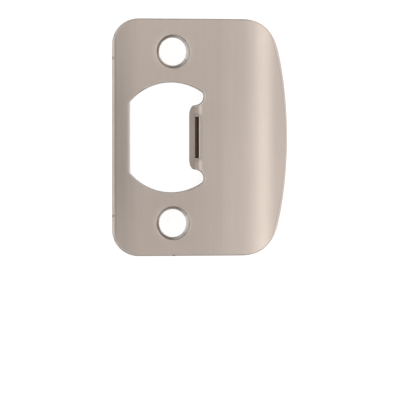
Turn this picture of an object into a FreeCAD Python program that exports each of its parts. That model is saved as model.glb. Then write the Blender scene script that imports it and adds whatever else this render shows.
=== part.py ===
import FreeCAD, Part
import math
import os
from collections import namedtuple

from FreeCAD import Vector

# Door strike plate: one piece of sheet steel, blanked, pierced and bent.
# Millimetres. The flat plate lies in XY with its finished face up, and its back face, at z = 0,
# seats on the door jamb. The origin is midway between the two screw holes, on the back face.
# +X points to the curved lip, and +Y runs along the row of screw holes.
# The lip's outline is laid out flat first: a place on it is given by s, the length along the
# finished face from the start of the bend, and by y. Its cut edges stand square to the bent
# sheet, as they do on a blank that is cut flat and then bent.

# Plate
PLATE_HEIGHT = 57.15
SHEET_THICKNESS = 1.5
HOLE_LINE_TO_BACK_EDGE = 14.7
PLATE_CORNER_RADIUS = 6.35
OUTER_EDGE_ROUNDING = 0.42

# Screw holes, countersunk on the finished face, which sinks a little round each of them.
# A slope is measured from the flat face.
SCREW_HOLE_SPACING = 41.275
SCREW_BORE_DIAMETER = 6.75
COUNTERSINK_DIAMETER = 8.2
COUNTERSINK_ANGLE = 90.0
COUNTERSINK_EDGE_ROUNDING = 0.12
SUNKEN_RING_RADIUS = 7.5
SUNKEN_RING_SLOPE = 10.0

# Latch opening: a round hole, cut straight on one side and carrying the tang on the other
OPENING_RADIUS = 13.2
OPENING_CENTRE_X = -0.35
HOLE_LINE_TO_STRAIGHT_SIDE = 10.4
HOLE_LINE_TO_TANG_SIDE = 7.5
STRAIGHT_SIDE_CORNER_RADIUS = 0.4
LOBE_CORNER_RADIUS = 1.0
LOBE_SIDE_LENGTH = 0.25
RELIEF_RADIUS = 2.1
OPENING_EDGE_ROUNDING = 0.35

# Tang, bent down into the jamb, with a slot at its bend so that it can be adjusted
TANG_BEND_RADIUS = 2.4
TANG_BEND_ANGLE = 73.0
TANG_STRAIGHT_LENGTH = 2.7
TANG_CORNER_RADIUS = 2.5
BEND_LINE_TO_TANG_SIDE = 0.1
SLOT_END_TO_TANG_SIDE = 2.75
SLOT_WIDTH = 1.2
SLOT_BEND_ANGLE = 44.5
SLOT_CORNER_RADIUS = 0.25
SLOT_EDGE_ROUNDING = 0.18

# Lip, rolled down over the edge of the jamb
HOLE_LINE_TO_LIP_BEND = 11.8
LIP_BEND_RADIUS = 24.0
LIP_LENGTH = 19.65
LIP_CORNER_RADIUS = 11.0
LIP_END_RADIUS = 63.5

# How far a cutting tool runs past the sheet, how many steps lay out a wrapped arc, and how
# near two lengths are when they count as the same
TOOL_OVERRUN = 1.0
ARC_STEPS = 12
SAME = 1e-6

HALF_HEIGHT = PLATE_HEIGHT / 2
TANG_BEND_X = HOLE_LINE_TO_TANG_SIDE - BEND_LINE_TO_TANG_SIDE
ALONG_Y = Vector(0, 1, 0)
ALONG_Z = Vector(0, 0, 1)

# The two kinds of piece in a flat outline. An arc's angles are in degrees.
Straight = namedtuple("Straight", "start end")
Round = namedtuple("Round", "centre radius first last")


def on_arc(piece, angle):
    turn = math.radians(angle)
    return (
        piece.centre[0] + piece.radius * math.cos(turn),
        piece.centre[1] + piece.radius * math.sin(turn),
    )


def mirrored(pieces):
    """The same pieces on the other side of y = 0, run backwards."""
    result = []
    for piece in reversed(pieces):
        if isinstance(piece, Straight):
            (start_x, start_y), (end_x, end_y) = piece
            result.append(Straight((end_x, -end_y), (start_x, -start_y)))
        else:
            (x, y), radius, first, last = piece
            result.append(Round((x, -y), radius, -last, -first))
    return result


def flat_wire(pieces, at):
    """A wire of an outline on a plane, where at(x, y) gives each place in space."""
    edges = []
    for piece in pieces:
        if isinstance(piece, Straight):
            edges.append(Part.makeLine(at(*piece.start), at(*piece.end)))
        else:
            halfway = (piece.first + piece.last) / 2
            places = [at(*on_arc(piece, angle)) for angle in (piece.first, halfway, piece.last)]
            edges.append(Part.Arc(*places).toShape())
    return Part.Wire(edges)


class Bend:
    """A bend about a line along Y, that turns the sheet down on one side of the plate."""

    def __init__(self, start_x, side, face_radius):
        self.start_x = start_x
        self.side = side
        self.face_radius = face_radius
        self.back_radius = face_radius - SHEET_THICKNESS
        self.axis_z = SHEET_THICKNESS - face_radius

    def outward(self, angle):
        """Unit vector out of the finished face, at an angle round the bend in radians."""
        return Vector(self.side * math.sin(angle), 0, math.cos(angle))

    def onward(self, angle):
        """Unit vector along the sheet, away from the flat plate."""
        return Vector(self.side * math.cos(angle), 0, -math.sin(angle))

    def place(self, angle, radius, y=0.0):
        return Vector(self.start_x, y, self.axis_z) + self.outward(angle) * radius

    def strip(self, angle, straight, half_width):
        """The sheet from the bend's start round to an angle, then straight on, sides not yet cut."""
        face_arc = Part.Arc(*[
            self.place(angle * share, self.face_radius, -half_width) for share in (0, 0.5, 1)
        ])
        back_arc = Part.Arc(*[
            self.place(angle * share, self.back_radius, -half_width) for share in (1, 0.5, 0)
        ])
        step = self.onward(angle) * straight
        face_end = face_arc.EndPoint + step
        back_end = back_arc.StartPoint + step
        edges = [face_arc.toShape(), back_arc.toShape(), Part.makeLine(face_end, back_end)]
        edges.append(Part.makeLine(back_arc.EndPoint, face_arc.StartPoint))
        if straight:
            edges.append(Part.makeLine(face_arc.EndPoint, face_end))
            edges.append(Part.makeLine(back_end, back_arc.StartPoint))
        section = Part.Wire(Part.sortEdges(edges)[0])
        return Part.Face(section).extrude(ALONG_Y * (2 * half_width))

    def seen_edge(self, piece, middle, reach):
        """A piece of a flat outline as seen from the bend's axis, on a plane beyond it.

        The plane faces the angle named middle, and reach is its distance from the axis.
        """
        centre = self.place(middle, reach)
        across = self.onward(middle) * reach

        def seen(s, y):
            return centre + across * math.tan(s / self.face_radius - middle) + ALONG_Y * y

        if isinstance(piece, Straight):
            return Part.makeLine(seen(*piece.start), seen(*piece.end))

        sweep = math.radians(piece.last - piece.first)
        shares = [step / ARC_STEPS for step in range(ARC_STEPS + 1)]

        def tangent(angle):
            s, _ = on_arc(piece, angle)
            ds = -piece.radius * math.sin(math.radians(angle)) * sweep
            dy = piece.radius * math.cos(math.radians(angle)) * sweep
            stretch = math.cos(s / self.face_radius - middle) ** 2 * self.face_radius
            return across * (ds / stretch) + ALONG_Y * dy

        curve = Part.BSplineCurve()
        curve.interpolate(
            Points=[
                seen(*on_arc(piece, piece.first + (piece.last - piece.first) * share))
                for share in shares
            ],
            Parameters=shares,
            InitialTangent=tangent(piece.first),
            FinalTangent=tangent(piece.last),
            Scale=False,
        )
        return curve.toShape()

    def punch(self, outline, middle):
        """A solid whose walls stand square to the bent sheet all along a flat outline.

        Each wall is ruled by lines that meet the bend's axis. Seen from that axis the outline
        is the same figure on every plane, so the solid is a loft between two planes.
        """
        near = [self.seen_edge(piece, middle, self.back_radius / 4) for piece in outline]
        far = [self.seen_edge(piece, middle, self.face_radius + TOOL_OVERRUN) for piece in outline]
        faces = [Part.Face(Part.Wire(near)), Part.Face(Part.Wire(far))]
        for piece, near_edge, far_edge in zip(outline, near, far):
            if isinstance(piece, Straight):
                corners = [vertex.Point for vertex in near_edge.Vertexes]
                corners += [vertex.Point for vertex in reversed(far_edge.Vertexes)]
                faces.append(Part.Face(Part.makePolygon(corners + corners[:1])))
            else:
                faces.append(Part.makeRuledSurface(near_edge, far_edge))
        shell = Part.makeShell(faces)
        shell.sewShape()
        return Part.makeSolid(shell)


LIP_BEND = Bend(HOLE_LINE_TO_LIP_BEND, 1, LIP_BEND_RADIUS)
TANG_BEND = Bend(TANG_BEND_X, -1, TANG_BEND_RADIUS)


def rounded_into_opening(x, radius):
    """Centre of a corner arc that touches a side of the latch opening and its round wall."""
    reach = x - OPENING_CENTRE_X
    return x, math.sqrt((OPENING_RADIUS - radius) ** 2 - reach ** 2)


def opening_angle(centre):
    return math.degrees(math.atan2(centre[1], centre[0] - OPENING_CENTRE_X))


# Each lobe of the opening ends in a small arc and a short straight side. From there a relief
# arc runs to the side of the tang, which is as wide as the lobes and reliefs leave it.
LOBE_CORNER = rounded_into_opening(HOLE_LINE_TO_TANG_SIDE - LOBE_CORNER_RADIUS, LOBE_CORNER_RADIUS)
RELIEF_CENTRE = (HOLE_LINE_TO_TANG_SIDE - RELIEF_RADIUS, LOBE_CORNER[1] - LOBE_SIDE_LENGTH)
HALF_TANG = RELIEF_CENTRE[1] - RELIEF_RADIUS
HALF_SLOT = HALF_TANG - SLOT_END_TO_TANG_SIDE


def blank():
    """The flat plate up to the start of the lip, with its two back corners rounded."""
    back = -HOLE_LINE_TO_BACK_EDGE
    centre = (back + PLATE_CORNER_RADIUS, HALF_HEIGHT - PLATE_CORNER_RADIUS)
    upper = [
        Round(centre, PLATE_CORNER_RADIUS, 180, 90),
        Straight((centre[0], HALF_HEIGHT), (HOLE_LINE_TO_LIP_BEND, HALF_HEIGHT)),
    ]
    back_edge = Straight((back, -centre[1]), (back, centre[1]))
    bend_line = Straight(upper[-1].end, (HOLE_LINE_TO_LIP_BEND, -HALF_HEIGHT))
    wire = flat_wire([back_edge] + upper + [bend_line] + mirrored(upper), Vector)
    return Part.Face(wire).extrude(ALONG_Z * SHEET_THICKNESS)


def latch_opening():
    """The cut through the flat plate, as far as the tang's bend."""
    side = -HOLE_LINE_TO_STRAIGHT_SIDE
    corner = rounded_into_opening(side + STRAIGHT_SIDE_CORNER_RADIUS, STRAIGHT_SIDE_CORNER_RADIUS)
    at_bend = -math.degrees(math.acos((TANG_BEND_X - RELIEF_CENTRE[0]) / RELIEF_RADIUS))
    relief = Round(RELIEF_CENTRE, RELIEF_RADIUS, 0, at_bend)
    upper = [
        Round(corner, STRAIGHT_SIDE_CORNER_RADIUS, 180, opening_angle(corner)),
        Round(
            (OPENING_CENTRE_X, 0), OPENING_RADIUS, opening_angle(corner), opening_angle(LOBE_CORNER)
        ),
        Round(LOBE_CORNER, LOBE_CORNER_RADIUS, opening_angle(LOBE_CORNER), 0),
        Straight((HOLE_LINE_TO_TANG_SIDE, LOBE_CORNER[1]), on_arc(relief, 0)),
        relief,
    ]
    straight_side = Straight((side, -corner[1]), (side, corner[1]))
    bend_line_y = on_arc(relief, at_bend)[1]
    bend_line = Straight((TANG_BEND_X, bend_line_y), (TANG_BEND_X, -bend_line_y))
    wire = flat_wire([straight_side] + upper + [bend_line] + mirrored(upper), Vector)
    cut = Part.Face(wire).extrude(ALONG_Z * (SHEET_THICKNESS + 2 * TOOL_OVERRUN))
    cut.translate(ALONG_Z * -TOOL_OVERRUN)
    return cut


def rolled_arc(start, radius, first, last):
    """An arc that goes down towards the hole's axis, its slope growing from first to last.

    A place is (r, z), with r measured from the hole's axis.
    """
    centre = (start[0] + radius * math.sin(first), start[1] - radius * math.cos(first))
    slopes = (first, (first + last) / 2, last)
    places = [
        Vector(centre[0] - radius * math.sin(slope), 0, centre[1] + radius * math.cos(slope))
        for slope in slopes
    ]
    return Part.Arc(*places)


def screw_hole(y):
    """The cut for a countersunk hole and the sunken ring round it, on the finished face."""
    bore_radius = SCREW_BORE_DIAMETER / 2
    cone_radius = COUNTERSINK_DIAMETER / 2
    ring_slope = math.radians(SUNKEN_RING_SLOPE)
    cone_slope = math.radians(90 - COUNTERSINK_ANGLE / 2)
    edge_width = COUNTERSINK_EDGE_ROUNDING * (math.sin(cone_slope) - math.sin(ring_slope))
    ring_width = SUNKEN_RING_RADIUS * math.sin(ring_slope)
    outer_radius = cone_radius + edge_width + ring_width
    ring = rolled_arc((outer_radius, SHEET_THICKNESS), SUNKEN_RING_RADIUS, 0, ring_slope)
    ring_foot = (ring.EndPoint.x, ring.EndPoint.z)
    edge = rolled_arc(ring_foot, COUNTERSINK_EDGE_ROUNDING, ring_slope, cone_slope)
    cone_depth = (cone_radius - bore_radius) * math.tan(cone_slope)
    cone_foot = Vector(bore_radius, 0, edge.EndPoint.z - cone_depth)
    top = SHEET_THICKNESS + TOOL_OVERRUN
    corners = [
        edge.EndPoint,
        cone_foot,
        Vector(bore_radius, 0, -TOOL_OVERRUN),
        Vector(0, 0, -TOOL_OVERRUN),
        Vector(0, 0, top),
        Vector(outer_radius, 0, top),
        ring.StartPoint,
    ]
    sides = Part.makePolygon(corners).Edges
    section = Part.Wire([ring.toShape(), edge.toShape()] + sides)
    cut = Part.Face(section).revolve(Vector(), ALONG_Z, 360)
    cut.translate(ALONG_Y * y)
    return cut


def lip():
    """The rolled lip, its end one wide arc between two corner arcs."""
    corner_y = HALF_HEIGHT - LIP_CORNER_RADIUS
    end_centre_s = LIP_LENGTH - LIP_END_RADIUS
    corner_reach = math.sqrt((LIP_END_RADIUS - LIP_CORNER_RADIUS) ** 2 - corner_y ** 2)
    corner_s = end_centre_s + corner_reach
    end_angle = math.degrees(math.atan2(corner_y, corner_reach))
    start = -TOOL_OVERRUN
    upper = [
        Straight((start, HALF_HEIGHT), (corner_s, HALF_HEIGHT)),
        Round((corner_s, corner_y), LIP_CORNER_RADIUS, 90, end_angle),
    ]
    end_arc = Round((end_centre_s, 0), LIP_END_RADIUS, end_angle, -end_angle)
    start_line = Straight((start, -HALF_HEIGHT), (start, HALF_HEIGHT))
    outline = [start_line] + upper + [end_arc] + mirrored(upper)
    sheet = LIP_BEND.strip((LIP_LENGTH + TOOL_OVERRUN) / LIP_BEND_RADIUS, 0, PLATE_HEIGHT)
    return sheet.common(LIP_BEND.punch(outline, LIP_LENGTH / LIP_BEND_RADIUS / 2))


def tang():
    """The tang from its bend to its tip, with the relief arcs that widen its root."""
    bend_angle = math.radians(TANG_BEND_ANGLE)
    root_x = HOLE_LINE_TO_TANG_SIDE + TOOL_OVERRUN
    root_y = RELIEF_CENTRE[1]
    past_tip_x = -HOLE_LINE_TO_STRAIGHT_SIDE
    upper = [
        Straight((root_x, root_y), (HOLE_LINE_TO_TANG_SIDE, root_y)),
        Round(RELIEF_CENTRE, RELIEF_RADIUS, 0, -90),
        Straight((RELIEF_CENTRE[0], HALF_TANG), (past_tip_x, HALF_TANG)),
    ]
    root = Straight((root_x, -root_y), (root_x, root_y))
    past_tip = Straight((past_tip_x, HALF_TANG), (past_tip_x, -HALF_TANG))
    sides = Part.Face(flat_wire([root] + upper + [past_tip] + mirrored(upper), Vector))
    reach = TANG_BEND_RADIUS + TANG_STRAIGHT_LENGTH + SHEET_THICKNESS
    keep = sides.extrude(ALONG_Z * (2 * reach))
    keep.translate(ALONG_Z * -reach)
    piece = TANG_BEND.strip(bend_angle, TANG_STRAIGHT_LENGTH, root_y).common(keep)

    bend_end = TANG_BEND.place(bend_angle, TANG_BEND_RADIUS)
    along = TANG_BEND.onward(bend_angle)

    def at_tip_corner(edge):
        ends = [vertex.Point for vertex in edge.Vertexes]
        at_tip = all(abs((end - bend_end).dot(along) - TANG_STRAIGHT_LENGTH) < SAME for end in ends)
        return at_tip and ends[0].y * ends[-1].y > 0

    return piece.makeFillet(TANG_CORNER_RADIUS, [e for e in piece.Edges if at_tip_corner(e)])


def tang_slot():
    """The slot across the tang's bend, its walls square to the bent sheet."""
    middle = math.radians(SLOT_BEND_ANGLE)
    centre_s = middle * TANG_BEND_RADIUS
    start = centre_s - SLOT_WIDTH / 2
    end = centre_s + SLOT_WIDTH / 2
    corner_y = HALF_SLOT - SLOT_CORNER_RADIUS
    first = Round((start + SLOT_CORNER_RADIUS, corner_y), SLOT_CORNER_RADIUS, 180, 90)
    second = Round((end - SLOT_CORNER_RADIUS, corner_y), SLOT_CORNER_RADIUS, 90, 0)
    upper = [first, Straight(on_arc(first, 90), on_arc(second, 90)), second]
    near_side = Straight((start, -corner_y), (start, corner_y))
    far_side = Straight((end, corner_y), (end, -corner_y))
    return TANG_BEND.punch([near_side] + upper + [far_side] + mirrored(upper), middle)


def is_finished(face):
    """Whether a face is part of the plate's finished side."""
    surface = face.Surface
    if isinstance(surface, Part.Cylinder):
        across = abs(surface.Axis.dot(ALONG_Y)) > 0.999
        radii = (LIP_BEND_RADIUS, TANG_BEND_RADIUS)
        return across and any(abs(surface.Radius - radius) < SAME for radius in radii)
    if isinstance(surface, Part.Plane):
        outward = (ALONG_Z, TANG_BEND.outward(math.radians(TANG_BEND_ANGLE)))
        normal = face.normalAt(0, 0)
        return any(normal.dot(direction) > 0.999 for direction in outward)
    return False


def finished_rims(plate):
    """The edges where the finished side meets a cut wall."""
    edges = [edge for face in plate.Faces if is_finished(face) for edge in face.Edges]
    return [edge for edge in edges if sum(edge.isSame(other) for other in edges) == 1]


def in_opening(edge):
    """Whether an edge lies within the round of the latch opening."""
    reach = OPENING_RADIUS + SAME
    return all(math.hypot(end.X - OPENING_CENTRE_X, end.Y) < reach for end in edge.Vertexes)


def in_slot(edge):
    """Whether an edge lies no further from the middle than the ends of the tang's slot."""
    box = edge.BoundBox
    return max(-box.YMin, box.YMax) < HALF_SLOT + SAME


def strike_plate():
    plate = blank().cut(latch_opening())
    plate = plate.fuse([lip(), tang()]).removeSplitter()
    outer_rims = [edge for edge in finished_rims(plate) if not in_opening(edge)]
    plate = plate.makeFillet(OUTER_EDGE_ROUNDING, outer_rims)
    opening_rims = [edge for edge in finished_rims(plate) if in_opening(edge)]
    plate = plate.makeFillet(OPENING_EDGE_ROUNDING, opening_rims)
    for side in (-1, 1):
        plate = plate.cut(screw_hole(side * SCREW_HOLE_SPACING / 2))
    plate = plate.cut(tang_slot())
    return plate.makeFillet(SLOT_EDGE_ROUNDING, [e for e in finished_rims(plate) if in_slot(e)])


def main():
    os.makedirs("parts", exist_ok=True)
    plate = strike_plate()
    solids = plate.Solids
    print("solids", len(solids), "valid", plate.isValid(), "volume", round(plate.Volume, 2))
    solids[0].exportStep("parts/strike_plate.step")


main()
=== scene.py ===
import math

import bpy
from mathutils import Matrix, Vector


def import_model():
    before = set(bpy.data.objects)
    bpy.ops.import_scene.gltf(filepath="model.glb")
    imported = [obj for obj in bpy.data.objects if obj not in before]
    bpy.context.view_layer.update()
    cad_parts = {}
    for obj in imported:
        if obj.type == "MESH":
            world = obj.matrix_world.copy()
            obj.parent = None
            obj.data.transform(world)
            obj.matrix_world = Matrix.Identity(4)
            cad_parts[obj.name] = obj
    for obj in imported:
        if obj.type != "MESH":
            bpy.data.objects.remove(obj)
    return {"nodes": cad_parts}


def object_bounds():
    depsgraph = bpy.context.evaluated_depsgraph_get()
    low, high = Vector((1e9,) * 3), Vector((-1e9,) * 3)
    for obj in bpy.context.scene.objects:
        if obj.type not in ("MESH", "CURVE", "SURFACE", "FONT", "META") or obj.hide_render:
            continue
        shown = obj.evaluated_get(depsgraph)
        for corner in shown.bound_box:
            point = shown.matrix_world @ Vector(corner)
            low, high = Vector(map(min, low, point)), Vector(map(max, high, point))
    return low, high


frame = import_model()
cad_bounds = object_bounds()
plate = frame["nodes"]["strike_plate"]

# Surfaces of the finished plate, in metres
FACE_Z = 0.0015
BACK_EDGE_X = -0.0147
HALF_HEIGHT = 0.028575
SCREW_HOLE_Y = 0.0206375
BORE_RADIUS = 0.003375
COUNTERSINK_RADIUS = 0.00403
LIP_BEND_X = 0.0118
LIP_BEND_RADIUS = 0.024
LIP_LENGTH = 0.01965
LIP_END_RADIUS = 0.0635
TANG_AXIS_X, TANG_AXIS_Z = 0.0074, -0.0009
TANG_FACE_RADIUS = 0.0024
SLOT_ANGLE = math.radians(45.75)
SLOT_HALF_ANGLE = math.radians(16.15)
SLOT_HALF_LENGTH = 0.00503
SLOT_RIM_DEPTH = 0.00002

# Base colours, as linear red, green and blue
NICKEL = (0.70, 0.60, 0.53)
MARK = (0.315, 0.27, 0.2385)
# Painted shade: a dark brown for the walls of the tang's slot
SLOT_PAINTED_SHADE = (0.34, 0.23, 0.16)
# Painted highlight on rounded edges, and painted shade on the rims at the lip's corners
EDGE_PAINTED_HIGHLIGHT = (0.98, 0.955, 0.935)
LIP_CORNER_PAINTED_SHADE = (0.40, 0.375, 0.36)
# Painted light and shade in the countersinks
COUNTERSINK_LIT_AT_BORE = (0.78, 0.72, 0.68)
COUNTERSINK_SHADE_AT_RIM = (0.20, 0.182, 0.168)
COUNTERSINK_LIT_TOWARDS_LIP = (0.36, 0.33, 0.305)

# A fade is the pair of places, in metres, between which a look changes, and tones are the shares
# of the base colour at its start and its end. This block holds painted light and shade: slow
# changes of tone over the plate that stand in for how the lamps fall on it.
BACK_EDGE_FADE_X = (-0.0125, -0.008)
BACK_EDGE_FADE_Y = (0.008, 0.020)
BACK_EDGE_TONES = (0.80, 0.89)
FLAT_TONE = 1.04
FLAT_TO_LIP_FADE_X = (0.004, 0.013)
BOTTOM_TONES = (0.955, 1.0)
TOP_TONES = (1.03, 0.948)
UPWARD_FADE_Y = (-0.015, HALF_HEIGHT)
ENDS_FADE_Y = (0.017, HALF_HEIGHT)
ENDS_TONES = (1.0, 1.035)
BEND_START_FADE_X = (0.006, 0.009)
BEND_START_TONES = (1.0, 1.03)
BEND_MIDDLE_FADE_X = (0.0165, 0.020)
BEND_MIDDLE_TONES = (1.0, 0.971)

# Rays that each ambient occlusion node sends
OCCLUSION_RAYS = 8

# Rims. Each rim line is a painted highlight with its width, its own tone and the tone of the
# painted shade line beside it.
EDGE_REACH = 0.0004
EDGE_OPENNESS = (0.95, 0.70)
BACK_EDGE_HIGHLIGHT = (0.0004, 1.35, 0.84)
LIP_END_HIGHLIGHT = (0.0009, 1.16, 0.92)
RIM_SOFTNESS = 0.0001
RIM_TO_LINE = 0.00028
LINE_FADE = (0.00012, 0.00035)
LIP_CORNER_FADE_X = (0.013, 0.018)
LIP_CORNER_FADE_Y = (0.0225, 0.0255)
OPENING_RIM_FADE_X = (-0.0113, -0.0107)
OPENING_RIM_FADE_Y = (0.0080, 0.0088)
OPENING_RIM_HIGHLIGHT_TONES = (1.0, 1.33)
OPENING_SIDE_LIMIT_X = -0.0095
MARKS = ((BACK_EDGE_X, 0.0190), (BACK_EDGE_X, -0.0188), (0.0001, -HALF_HEIGHT))
MARK_FADE = (0.0002, 0.0005)

# Painted shade on the tang, and on the strip between its slot and the flat plate
TANG_START_X = 0.0040
TANG_HALF_WIDTH = 0.0082
TANG_BEND_FADE_Z = (-0.0001, 0.0003)
TANG_BEND_TONES = (0.91, 0.77)
TANG_TO_FACE_FADE_Z = (0.0006, 0.0010)
TANG_TO_FACE_TONES = (0.77, 1.0)
STRIP_START_FADE_X = (0.0050, 0.0054)
STRIP_END_FADE_X = (0.0067, 0.0072)
STRIP_FADE_Y = (0.0051, 0.0060)
STRIP_SHADE = 0.64

# Grain: its sizes along X, Y and Z, the range of the noise that is used, and what it changes
LINE_GRAIN = (0.00007, 0.004, 0.00007)
LINE_DETAIL = 3.0
LINE_RANGE = (0.25, 0.75)
BAND_GRAIN = (0.0006, 0.020, 0.0006)
BAND_CHANGES = (-0.014, 0.014)
CLOUD_GRAIN = (0.012, 0.016, 0.012)
CLOUD_CHANGES = (-0.015, 0.015)
TONE_RANGE = (0.3, 0.7)
ROUGHNESS = (0.30, 0.40)
COUNTERSINK_SMOOTHNESS = 0.22
SLOT_ROUGHNESS = 0.3
BRUSHING_DEPTHS = (0.4, 0.0)
BUMP_STRENGTH = 0.25
BUMP_HEIGHT = 0.00002
BRUSHING_ANISOTROPY = 0.35

# The set: floor, sky and backdrop. The backdrop's fade is in height, from 0 at the horizon to 1
FLOOR_GAP = 0.00005
FLOOR_HALF_SIZE = 1.5
FLOOR_COLOUR = (0.85, 0.85, 0.85)
FLOOR_GLOW = 0.76
FLOOR_SHARE_IN_METAL = 0.42
FLOOR_SHADOW_REACH = 0.04
FLOOR_SHADOW_POWER = 4.0
SKY_STRENGTH = 0.35
BACKDROP_FADE = (0.10, 0.20)

# Area lamps: name, turn from +X and lean from the plate's normal in degrees, width, power in watts
LAMP_AIM = Vector((0.007, 0.0, 0.0))
LAMP_DISTANCE = 0.25
LAMP_LENGTH = 0.40
LAMPS = (
    ("right_high", 0.0, 19.0, 0.08, 0.057),
    ("right_middle", 0.0, 46.0, 0.12, 0.064),
    ("right_low", 0.0, 65.0, 0.08, 0.121),
    ("left_high", 180.0, 9.0, 0.08, 0.039),
    ("left_middle", 180.0, 25.0, 0.08, 0.0515),
    ("left_wide", 180.0, 40.0, 0.14, 0.088),
    ("left_low", 180.0, 84.0, 0.04, 0.021),
)

# Camera: it stands back from the plate's middle, and aims below it, because the plate sits high
# in the picture
VIEW_LEAN = math.radians(8.5)
VIEW_MIDDLE = Vector((0.0063, 0.0, FACE_Z))
VIEW_DISTANCE = 0.63764
AIM_RIGHT = 0.000156
AIM_DOWN = 0.01507
LENS = 238.4
SENSOR_WIDTH = 36.0
NEAR_CLIP, FAR_CLIP = 0.01, 20.0


class Graph:
    """Adds nodes to one material, or to the world, and links them."""

    def __init__(self, material):
        material.use_nodes = True
        self.tree = material.node_tree
        self.tree.nodes.clear()

    def add(self, kind, inputs=None, **settings):
        node = self.tree.nodes.new(kind)
        for name, value in settings.items():
            setattr(node, name, value)
        for key, value in (inputs or {}).items():
            if isinstance(value, bpy.types.NodeSocket):
                self.tree.links.new(value, node.inputs[key])
            else:
                node.inputs[key].default_value = value
        return node

    def math(self, operation, first, second=0.0):
        inputs = {0: first, 1: second}
        return self.add("ShaderNodeMath", inputs, operation=operation).outputs[0]

    def absolute(self, value):
        return self.math("ABSOLUTE", value)

    def product(self, first, *others):
        result = first
        for other in others:
            result = self.math("MULTIPLY", result, other)
        return result

    def length(self, across, along):
        """Length of the line with these two sides."""
        squares = self.math(
            "ADD", self.math("POWER", across, 2.0), self.math("POWER", along, 2.0)
        )
        return self.math("SQRT", squares)

    def fade(self, value, places, results):
        """The first result up to the first place, the last one from the last place on."""
        inputs = {"Value": value, 1: places[0], 2: places[1], 3: results[0], 4: results[1]}
        return self.add("ShaderNodeMapRange", inputs).outputs[0]

    def rise(self, value, places):
        return self.fade(value, places, (0.0, 1.0))

    def fall(self, value, places):
        return self.fade(value, places, (1.0, 0.0))

    def tone_where(self, mask, tone):
        """The tone where the mask is 1, and no change where it is 0."""
        return self.fade(mask, (0.0, 1.0), (1.0, tone))

    def noise(self, place, grain, detail=2.0):
        """Noise whose grain has the given sizes along X, Y and Z, in metres."""
        scale = tuple(1.0 / size for size in grain)
        mapped = self.add("ShaderNodeMapping", {"Vector": place, "Scale": scale})
        inputs = {"Vector": mapped.outputs[0], "Scale": 1.0, "Detail": detail}
        return self.add("ShaderNodeTexNoise", inputs).outputs["Fac"]

    def mix(self, factor, first, second):
        """The first colour where the factor is 0, the second where it is 1."""
        node = self.add("ShaderNodeMix", {"Factor": factor}, data_type="RGBA")
        for slot, value in ((6, first), (7, second)):
            if isinstance(value, bpy.types.NodeSocket):
                self.tree.links.new(value, node.inputs[slot])
            else:
                node.inputs[slot].default_value = (*value, 1.0)
        return node.outputs[2]


def slot_mask(graph, x, y, z):
    """1 on the walls of the tang's slot, 0 elsewhere."""
    across = graph.math("SUBTRACT", TANG_AXIS_X, x)
    up = graph.math("SUBTRACT", z, TANG_AXIS_Z)
    angle = graph.math("ARCTAN2", across, up)
    off_middle = graph.absolute(graph.math("SUBTRACT", angle, SLOT_ANGLE))
    inside_angle = graph.math("LESS_THAN", off_middle, SLOT_HALF_ANGLE)
    inside_length = graph.math("LESS_THAN", graph.absolute(y), SLOT_HALF_LENGTH)
    radius = graph.length(across, up)
    below_face = graph.math("LESS_THAN", radius, TANG_FACE_RADIUS - SLOT_RIM_DEPTH)
    return graph.product(inside_angle, inside_length, below_face)


def hole_distance(graph, x, y):
    """Distance from the nearer screw hole's axis."""
    along = graph.math("SUBTRACT", graph.absolute(y), SCREW_HOLE_Y)
    return graph.length(x, along)


def edge_highlight_mask(graph):
    """Near 1 on the sheet's rounded edges, which get a painted highlight, 0 on its flat sides."""
    rays = graph.add(
        "ShaderNodeAmbientOcclusion",
        {"Distance": EDGE_REACH},
        samples=OCCLUSION_RAYS,
        inside=True,
        only_local=True,
    )
    return graph.rise(rays.outputs["AO"], EDGE_OPENNESS)


def lip_corner_shade_mask(graph, x, y):
    """1 at the lip's two corners, whose rims get painted shade instead of the edge highlight."""
    past_bend = graph.rise(x, LIP_CORNER_FADE_X)
    near_end = graph.rise(graph.absolute(y), LIP_CORNER_FADE_Y)
    return graph.product(past_bend, near_end)


def mark_mask(graph, place):
    """1 on the three small marks at the plate's edge, fading to 0 round them."""
    total = 0.0
    for x, y in MARKS:
        ends = {0: place, 1: (x, y, FACE_Z)}
        offset = graph.add("ShaderNodeVectorMath", ends, operation="DISTANCE").outputs["Value"]
        total = graph.math("MAXIMUM", graph.fall(offset, MARK_FADE), total)
    return total


def painted_light_and_shade(graph, x, y):
    """Painted light and shade: slow changes of tone that stand in for how the lamps fall on the
    plate.

    It is a little darker along the back edge. The flat plate is lighter towards its top end, and
    the lip towards its bottom end. The start of the lip's bend is a little lighter than both.
    """
    off_middle = graph.absolute(y)
    at_back_edge = graph.fade(off_middle, BACK_EDGE_FADE_Y, BACK_EDGE_TONES)
    from_edge = graph.fade(x, BACK_EDGE_FADE_X, (at_back_edge, FLAT_TONE))
    to_bend = graph.fade(x, BEND_START_FADE_X, BEND_START_TONES)
    past_bend = graph.fade(x, BEND_MIDDLE_FADE_X, BEND_MIDDLE_TONES)
    bottom = graph.fade(x, FLAT_TO_LIP_FADE_X, BOTTOM_TONES)
    top = graph.fade(x, FLAT_TO_LIP_FADE_X, TOP_TONES)
    upward = graph.fade(y, UPWARD_FADE_Y, (bottom, top))
    ends = graph.fade(off_middle, ENDS_FADE_Y, ENDS_TONES)
    return graph.product(from_edge, to_bend, past_bend, upward, ends)


def lip_end_distance(graph, x, y, z):
    """Distance from the lip's rounded end, measured along the bent sheet."""
    across = graph.math("SUBTRACT", x, LIP_BEND_X)
    up = graph.math("SUBTRACT", z, FACE_Z - LIP_BEND_RADIUS)
    along = graph.product(graph.math("ARCTAN2", across, up), LIP_BEND_RADIUS)
    from_centre = graph.math("SUBTRACT", along, LIP_LENGTH - LIP_END_RADIUS)
    return graph.math("SUBTRACT", LIP_END_RADIUS, graph.length(from_centre, y))


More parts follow.
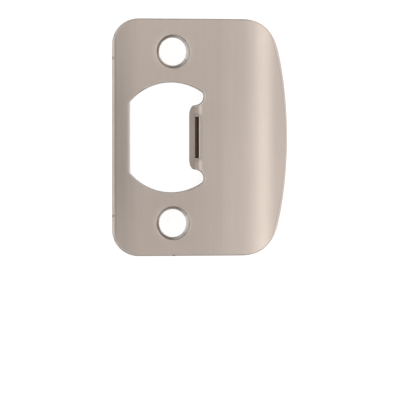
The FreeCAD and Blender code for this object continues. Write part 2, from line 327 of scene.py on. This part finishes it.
def painted_rim_highlight(graph, distance, width, bright, line_shade):
    """A painted highlight: a rim of the given width is made bright, with a painted shade line
    beside it.
    """
    rim = graph.fade(distance, (width - RIM_SOFTNESS, width + RIM_SOFTNESS), (bright, 1.0))
    off_line = graph.absolute(graph.math("SUBTRACT", distance, width + RIM_TO_LINE))
    line = graph.fade(off_line, LINE_FADE, (line_shade, 1.0))
    return graph.product(rim, line)


def opening_rim_highlight(graph, x, y):
    """Painted highlight: the straight side of the latch opening gets a wider bright rim than the
    other edges.
    """
    rim = graph.fade(x, OPENING_RIM_FADE_X, OPENING_RIM_HIGHLIGHT_TONES)
    beside = graph.math("LESS_THAN", x, OPENING_SIDE_LIMIT_X)
    along = graph.fall(graph.absolute(y), OPENING_RIM_FADE_Y)
    return graph.tone_where(graph.product(beside, along), rim)


def tang_painted_shade(graph, x, y, z):
    """Painted shade: the bent tang is darker than the flat plate, most of all at its bend."""
    past_opening = graph.math("GREATER_THAN", x, TANG_START_X)
    before_plate = graph.math("LESS_THAN", x, TANG_AXIS_X)
    between_reliefs = graph.math("LESS_THAN", graph.absolute(y), TANG_HALF_WIDTH)
    on_tang = graph.product(past_opening, before_plate, between_reliefs)
    below_bend = graph.fade(z, TANG_BEND_FADE_Z, TANG_BEND_TONES)
    above_bend = graph.fade(z, TANG_TO_FACE_FADE_Z, TANG_TO_FACE_TONES)
    return graph.tone_where(on_tang, graph.math("MAXIMUM", below_bend, above_bend))


def strip_painted_shade(graph, x, y):
    """Painted shade: the strip between the slot and the flat plate is darker, and so are the slot's
    ends.
    """
    from_slot = graph.rise(x, STRIP_START_FADE_X)
    to_plate = graph.fall(x, STRIP_END_FADE_X)
    along = graph.fall(graph.absolute(y), STRIP_FADE_Y)
    return graph.tone_where(graph.product(from_slot, to_plate, along), STRIP_SHADE)


def countersink_light_and_shade(graph, x, from_hole):
    """Painted light and shade in the countersinks: darker at the outer rim and least so towards the
    lip.
    """
    to_lip = graph.rise(x, (-COUNTERSINK_RADIUS, COUNTERSINK_RADIUS))
    rim = graph.mix(to_lip, COUNTERSINK_SHADE_AT_RIM, COUNTERSINK_LIT_TOWARDS_LIP)
    to_rim = graph.rise(from_hole, (BORE_RADIUS, COUNTERSINK_RADIUS))
    return graph.mix(to_rim, COUNTERSINK_LIT_AT_BORE, rim)


def satin_nickel():
    """The plate's one material: brushed satin nickel, with painted highlights on its rims and
    painted light and shade in the slot, the countersinks and on the tang.
    """
    material = bpy.data.materials.new("satin_nickel")
    graph = Graph(material)
    place = graph.add("ShaderNodeTexCoord").outputs["Object"]
    x, y, z = graph.add("ShaderNodeSeparateXYZ", {0: place}).outputs
    in_slot = slot_mask(graph, x, y, z)
    from_hole = hole_distance(graph, x, y)
    in_countersink = graph.math("LESS_THAN", from_hole, COUNTERSINK_RADIUS)
    on_mark = mark_mask(graph, place)

    # Brushing along Y: fine lines, wider and fainter bands, and soft clouds
    lines = graph.noise(place, LINE_GRAIN, LINE_DETAIL)
    bands = graph.noise(place, BAND_GRAIN)
    clouds = graph.noise(place, CLOUD_GRAIN)

    grain = graph.math("ADD", graph.fade(bands, TONE_RANGE, BAND_CHANGES), 1.0)
    grain = graph.math("ADD", grain, graph.fade(clouds, TONE_RANGE, CLOUD_CHANGES))
    # The tone also carries painted light and shade: slow fades, bright rims with shade lines beside
    # them, the opening's rim highlight, and shade on the tang and beside its slot
    tone = graph.product(
        grain,
        painted_light_and_shade(graph, x, y),
        painted_rim_highlight(graph, graph.math("SUBTRACT", x, BACK_EDGE_X), *BACK_EDGE_HIGHLIGHT),
        painted_rim_highlight(graph, lip_end_distance(graph, x, y, z), *LIP_END_HIGHLIGHT),
        opening_rim_highlight(graph, x, y),
        tang_painted_shade(graph, x, y, z),
        strip_painted_shade(graph, x, y),
    )
    toned = {0: NICKEL, "Scale": tone}
    colour = graph.add("ShaderNodeVectorMath", toned, operation="SCALE").outputs[0]
    # Painted highlight on the sheet's rounded edges, and painted shade on them at the lip's corners
    edge_highlight_and_shade = graph.mix(lip_corner_shade_mask(graph, x, y), EDGE_PAINTED_HIGHLIGHT, LIP_CORNER_PAINTED_SHADE)
    colour = graph.mix(edge_highlight_mask(graph), colour, edge_highlight_and_shade)
    colour = graph.mix(in_countersink, colour, countersink_light_and_shade(graph, x, from_hole))
    colour = graph.mix(on_mark, colour, MARK)
    # Painted shade: the walls of the tang's slot are coloured dark brown
    colour = graph.mix(in_slot, colour, SLOT_PAINTED_SHADE)

    smoother = graph.product(in_countersink, COUNTERSINK_SMOOTHNESS)
    rougher = graph.product(in_slot, SLOT_ROUGHNESS)
    rough = graph.math("SUBTRACT", graph.fade(lines, LINE_RANGE, ROUGHNESS), smoother)
    rough = graph.math("ADD", rough, rougher)
    brushing = graph.product(lines, graph.fade(in_countersink, (0.0, 1.0), BRUSHING_DEPTHS))
    height = graph.math("SUBTRACT", brushing, on_mark)
    relief = {"Strength": BUMP_STRENGTH, "Distance": BUMP_HEIGHT, "Height": height}
    across_brushing = graph.add("ShaderNodeCombineXYZ", {0: 1.0})
    shader = graph.add(
        "ShaderNodeBsdfPrincipled",
        {
            "Base Color": colour,
            "Metallic": 1.0,
            "Roughness": rough,
            "Anisotropic": BRUSHING_ANISOTROPY,
            "Tangent": across_brushing.outputs[0],
            "Normal": graph.add("ShaderNodeBump", relief).outputs[0],
        },
    )
    graph.add("ShaderNodeOutputMaterial", {"Surface": shader.outputs[0]})
    return material


def shown_rays(graph):
    """1 on camera rays, and 1 on the glossy and transmission rays in which metal shows a thing."""
    path = graph.add("ShaderNodeLightPath")
    mirrored = graph.math(
        "MAXIMUM", path.outputs["Is Glossy Ray"], path.outputs["Is Transmission Ray"]
    )
    return path.outputs["Is Camera Ray"], mirrored


def floor_glow(graph):
    """What makes the floor white where it is seen, without lighting the object.

    What the metal reflects keeps the shadow that the plate throws on the floor under it.
    """
    seen, mirrored = shown_rays(graph)
    open_sky = graph.add(
        "ShaderNodeAmbientOcclusion", {"Distance": FLOOR_SHADOW_REACH}, samples=OCCLUSION_RAYS
    )
    unshadowed = graph.math("POWER", open_sky.outputs["AO"], FLOOR_SHADOW_POWER)
    in_metal = graph.product(unshadowed, FLOOR_SHARE_IN_METAL)
    shown = graph.math("MAXIMUM", seen, graph.product(mirrored, in_metal))
    return graph.product(shown, FLOOR_GLOW)


def floor():
    """A plain pale floor just under the plate's lowest point."""
    low = cad_bounds[0][2] - FLOOR_GAP
    signs = ((-1, -1), (1, -1), (1, 1), (-1, 1))
    corners = [(across * FLOOR_HALF_SIZE, along * FLOOR_HALF_SIZE, low) for across, along in signs]
    mesh = bpy.data.meshes.new("floor")
    mesh.from_pydata(corners, [], [(0, 1, 2, 3)])
    ground = bpy.data.objects.new("floor", mesh)
    bpy.context.collection.objects.link(ground)
    material = bpy.data.materials.new("pale_floor")
    graph = Graph(material)
    diffuse = graph.add("ShaderNodeBsdfDiffuse", {"Color": (*FLOOR_COLOUR, 1.0)})
    glow = graph.add("ShaderNodeEmission", {"Strength": floor_glow(graph)})
    both = graph.add("ShaderNodeAddShader", {0: diffuse.outputs[0], 1: glow.outputs[0]})
    graph.add("ShaderNodeOutputMaterial", {"Surface": both.outputs[0]})
    mesh.materials.append(material)


def world():
    """A soft even light, and a white backdrop that is seen, and mirrored low over the floor."""
    sky = bpy.data.worlds.new("studio")
    bpy.context.scene.world = sky
    graph = Graph(sky)
    seen, mirrored = shown_rays(graph)
    place = graph.add("ShaderNodeTexCoord").outputs["Generated"]
    height = graph.add("ShaderNodeSeparateXYZ", {0: place}).outputs[2]
    backdrop = graph.fall(height, BACKDROP_FADE)
    shown = graph.math("MAXIMUM", seen, graph.product(mirrored, backdrop))
    strength = graph.fade(shown, (0.0, 1.0), (SKY_STRENGTH, 1.0))
    glow = graph.add("ShaderNodeBackground", {"Strength": strength})
    graph.add("ShaderNodeOutputWorld", {"Surface": glow.outputs[0]})


def lamp(name, turn, lean, width, power):
    """A long area lamp that faces the plate, its long side along Y."""
    turn, lean = math.radians(turn), math.radians(lean)
    way = Vector((math.cos(turn) * math.sin(lean), math.sin(turn) * math.sin(lean), math.cos(lean)))
    data = bpy.data.lights.new(name, "AREA")
    data.shape = "RECTANGLE"
    data.size, data.size_y = LAMP_LENGTH, width
    data.energy = power
    light = bpy.data.objects.new(name, data)
    light.location = LAMP_AIM + way * LAMP_DISTANCE
    light.rotation_euler = (-way).to_track_quat("-Z", "Y").to_euler()
    bpy.context.collection.objects.link(light)


def camera():
    """The photograph's view: a long lens, a little to the left of the plate's normal."""
    back = Vector((-math.sin(VIEW_LEAN), 0.0, math.cos(VIEW_LEAN)))
    right = Vector((math.cos(VIEW_LEAN), 0.0, math.sin(VIEW_LEAN)))
    upward = Vector((0.0, 1.0, 0.0))
    place = VIEW_MIDDLE + back * VIEW_DISTANCE
    target = VIEW_MIDDLE + right * AIM_RIGHT - upward * AIM_DOWN
    toward = (target - place).normalized()
    side = toward.cross(upward).normalized()
    top = side.cross(toward)
    data = bpy.data.cameras.new("camera")
    data.lens = LENS
    data.sensor_width = SENSOR_WIDTH
    data.clip_start, data.clip_end = NEAR_CLIP, FAR_CLIP
    view = bpy.data.objects.new("camera", data)
    turned = Matrix((side, top, -toward)).transposed().to_4x4()
    view.matrix_world = Matrix.Translation(place) @ turned
    bpy.context.collection.objects.link(view)
    bpy.context.scene.camera = view


bpy.context.scene.view_settings.view_transform = "Standard"
plate.data.materials[0] = satin_nickel()
floor()
world()
for settings in LAMPS:
    lamp(*settings)
camera()
